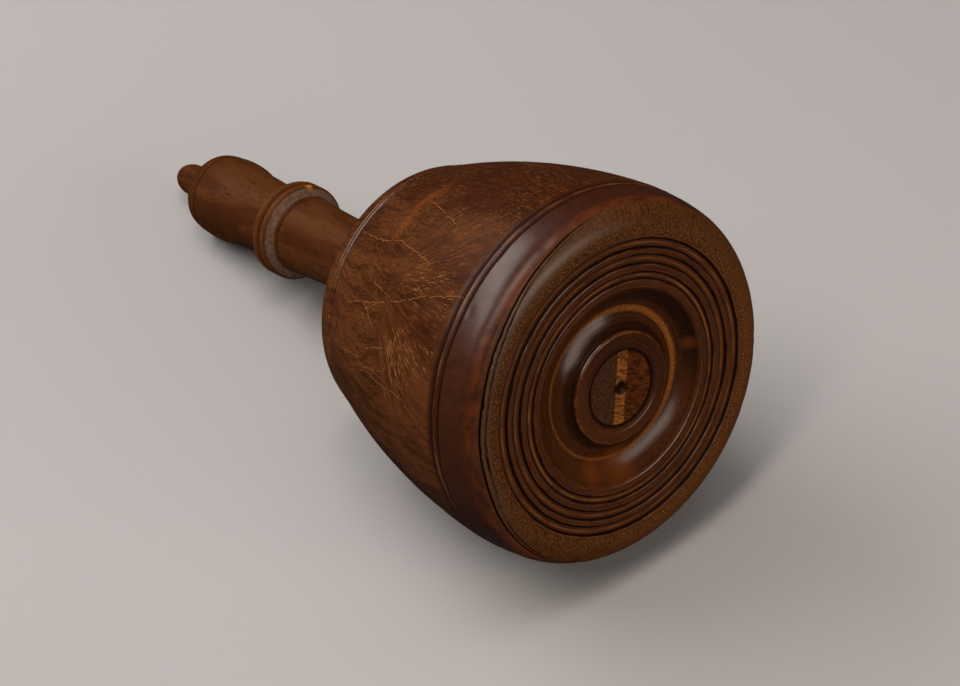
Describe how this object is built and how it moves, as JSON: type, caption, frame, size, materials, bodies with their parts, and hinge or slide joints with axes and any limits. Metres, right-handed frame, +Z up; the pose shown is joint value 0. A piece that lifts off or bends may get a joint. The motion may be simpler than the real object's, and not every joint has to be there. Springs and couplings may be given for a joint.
{
  "type": "turned wooden mallet",
  "caption": "Turned dark-wood mallet or hand press: bell-shaped head with a ringed end-grain face, slim handle with collar and knob, wedged through tenon. Lies on its side.",
  "frame": {"origin": "on the ground, under the middle of the lying mallet's bounding box", "axes": "+Z up; the mallet lies with its ringed face towards -Y and its handle towards +Y; +X to the right seen from the face"},
  "size_m": [0.1108, 0.2323, 0.1137],
  "materials": {
    "head_wood": "aged semi-gloss varnish over dark red-brown hardwood, end grain on the face",
    "handle_wood": "worn semi-gloss varnish over orange-brown hardwood",
    "wedge_wood": "bare light orange-tan wood, smoothed flush"
  },
  "bodies": {
    "root": {"head": "head_wood", "handle": "handle_wood", "wedge": "wedge_wood"}
  },
  "joints": []
}
